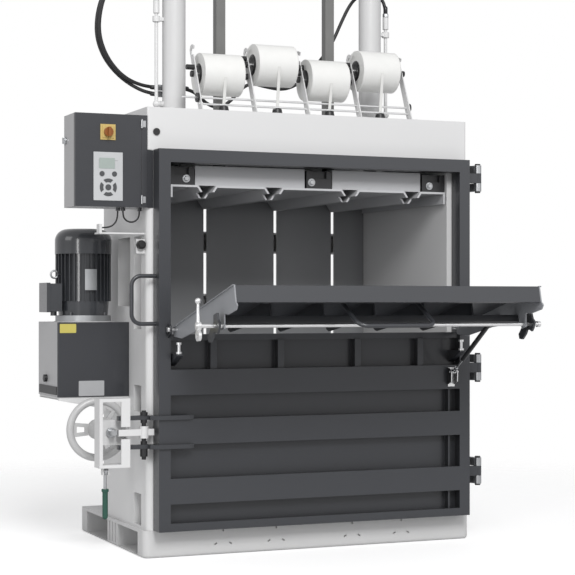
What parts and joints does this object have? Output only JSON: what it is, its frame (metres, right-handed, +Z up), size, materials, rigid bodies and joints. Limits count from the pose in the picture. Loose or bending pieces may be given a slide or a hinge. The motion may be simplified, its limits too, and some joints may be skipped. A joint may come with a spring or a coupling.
{
  "type": "vertical recycling baler",
  "caption": "Upright hydraulic baler with a hinged door, a tilting filling flap, twin rams, strap rolls over the head, a control cabinet and a side power unit.",
  "frame": {"origin": "centre of the underside of the base frame, on the floor", "axes": "+X to the right seen from the front, +Y from the door into the machine, +Z up"},
  "size_m": [1.68, 1.5353, 2.998],
  "materials": {
    "structure_white": "satin paint",
    "light_grey": "satin paint",
    "anthracite": "satin paint",
    "zinc": "zinc plated",
    "guide_steel": "dark drawn steel",
    "rod_chrome": "polished",
    "black_plastic": "matte",
    "hose_rubber": "rubber",
    "strap_white": "translucent polyester strap",
    "motor_paint": "satin paint",
    "switch_yellow": "gloss",
    "switch_red": "gloss",
    "panel_white": "satin membrane",
    "key_dark": "matte"
  },
  "bodies": {
    "frame": {"base_frame": "structure_white", "side_wall_left": "structure_white", "side_wall_right": "structure_white", "rear_wall": "structure_white", "chamber_floor": "light_grey", "head_beam": "structure_white", "hydraulic_cylinders": "structure_white", "guide_bushes": "structure_white", "hard_pipes": "structure_white", "hose_manifold": "structure_white", "hose_loop": "hose_rubber", "hose_tall": "hose_rubber", "hose_right": "hose_rubber", "strap_arms": "structure_white", "strap_rods": "zinc", "strap_knobs": "black_plastic", "strap_tails": "strap_white", "door_hinges": "zinc", "cabinet_body": "light_grey", "cabinet_hinges": "zinc", "cable_long": "hose_rubber", "cable_loop": "hose_rubber", "tank_body": "light_grey", "tank_front": "anthracite", "tank_shelf": "structure_white", "motor_body": "motor_paint", "fan_cowl": "motor_paint", "terminal_box": "motor_paint", "black_caps": "black_plastic"},
    "ram": {"press_plate": "light_grey", "guide_shoes": "black_plastic", "piston_rods": "rod_chrome", "guide_bars": "guide_steel"},
    "door": {"door_frame": "anthracite", "door_handle": "anthracite", "door_fittings": "zinc", "lock_frame": "structure_white", "lock_pin": "black_plastic"},
    "flap": {"flap_panel": "anthracite", "flap_cheeks": "light_grey", "flap_handle": "anthracite"},
    "latch": {"latch_rod": "zinc", "latch_claws": "anthracite", "latch_lever": "zinc"},
    "strut_rod_body": {"strut_rod": "rod_chrome"},
    "strut_cylinder_body": {"strut_cylinder": "black_plastic"},
    "spindle": {"lock_spindle": "zinc", "handwheel": "structure_white"},
    "clamp": {"clamp_bar": "structure_white"},
    "lever": {"release_lever": "zinc"},
    "cabinet_door_body": {"cabinet_door": "anthracite", "switch_plate": "switch_yellow", "keypad_panel": "panel_white", "keypad_keys": "key_dark"},
    "switch": {"switch_knob": "switch_red"},
    "cabinet_lock_body": {"cabinet_lock": "zinc"},
    "roll_1": {"strap_roll_1": "strap_white"},
    "roll_2": {"strap_roll_2": "strap_white"},
    "roll_3": {"strap_roll_3": "strap_white"},
    "roll_4": {"strap_roll_4": "strap_white"}
  },
  "joints": [
    {"name": "ram_slide", "type": "slide", "parent": "frame", "child": "ram", "axis": [0, 0, -1], "range_m": [0, 0.88]},
    {"name": "door_swing", "type": "hinge", "parent": "frame", "child": "door", "pos_m": [0.701, -0.438, 0], "axis": [0, 0, 1], "range_deg": [0, 135]},
    {"name": "flap_tilt", "type": "hinge", "parent": "door", "child": "flap", "pos_m": [0, -0.49, 0.843], "axis": [-1, 0, 0], "range_deg": [0, 76.1]},
    {"name": "latch_turn", "type": "hinge", "parent": "flap", "child": "latch", "pos_m": [0, -0.97536, 0.86319], "axis": [1, 0, 0], "range_deg": [0, 45]},
    {"name": "strut_swing", "type": "hinge", "parent": "door", "child": "strut_rod_body", "pos_m": [0.56, -0.497, 0.671], "axis": [-1, 0, 0], "range_deg": [0, 51.99]},
    {"name": "strut_extend", "type": "slide", "parent": "strut_rod_body", "child": "strut_cylinder_body", "axis": [0, -0.8237, 0.567], "range_m": [0, 0.1145]},
    {"name": "handwheel_turn", "type": "hinge", "parent": "door", "child": "spindle", "pos_m": [-0.806, 0, 0.469], "axis": [0, 1, 0], "range_deg": [0, 1080]},
    {"name": "clamp_swing", "type": "hinge", "parent": "door", "child": "clamp", "pos_m": [-0.69, -0.434, 0.469], "axis": [0, 0, 1], "range_deg": [0, 7.5]},
    {"name": "lever_swing", "type": "hinge", "parent": "door", "child": "lever", "pos_m": [-0.834, -0.425, 0.3295], "axis": [1, 0, 0], "range_deg": [-25, 25]},
    {"name": "cabinet_door_swing", "type": "hinge", "parent": "frame", "child": "cabinet_door_body", "pos_m": [-0.689, -0.409, 0], "axis": [0, 0, 1], "range_deg": [0, 90]},
    {"name": "switch_turn", "type": "hinge", "parent": "cabinet_door_body", "child": "switch", "pos_m": [-0.818, -0.405, 1.562], "axis": [0, 1, 0], "range_deg": [0, 90]},
    {"name": "cabinet_lock_turn", "type": "hinge", "parent": "frame", "child": "cabinet_lock_body", "pos_m": [-0.94, -0.283, 1.536], "axis": [1, 0, 0], "range_deg": [0, 90]},
    {"name": "roll_turn_1", "type": "hinge", "parent": "frame", "child": "roll_1", "pos_m": [-0.341, -0.28, 1.81], "axis": [1, 0, 0], "continuous": true},
    {"name": "roll_turn_2", "type": "hinge", "parent": "frame", "child": "roll_2", "pos_m": [-0.121, -0.28, 1.857], "axis": [1, 0, 0], "continuous": true},
    {"name": "roll_turn_3", "type": "hinge", "parent": "frame", "child": "roll_3", "pos_m": [0.099, -0.28, 1.81], "axis": [1, 0, 0], "continuous": true},
    {"name": "roll_turn_4", "type": "hinge", "parent": "frame", "child": "roll_4", "pos_m": [0.319, -0.28, 1.857], "axis": [1, 0, 0], "continuous": true}
  ],
  "couplings": [
    {"joint": "strut_swing", "follows": "flap_tilt", "ratio": 0.68248},
    {"joint": "strut_extend", "follows": "flap_tilt", "m_per_rad": 0.086154},
    {"joint": "clamp_swing", "follows": "handwheel_turn", "ratio": 0.006852}
  ]
}
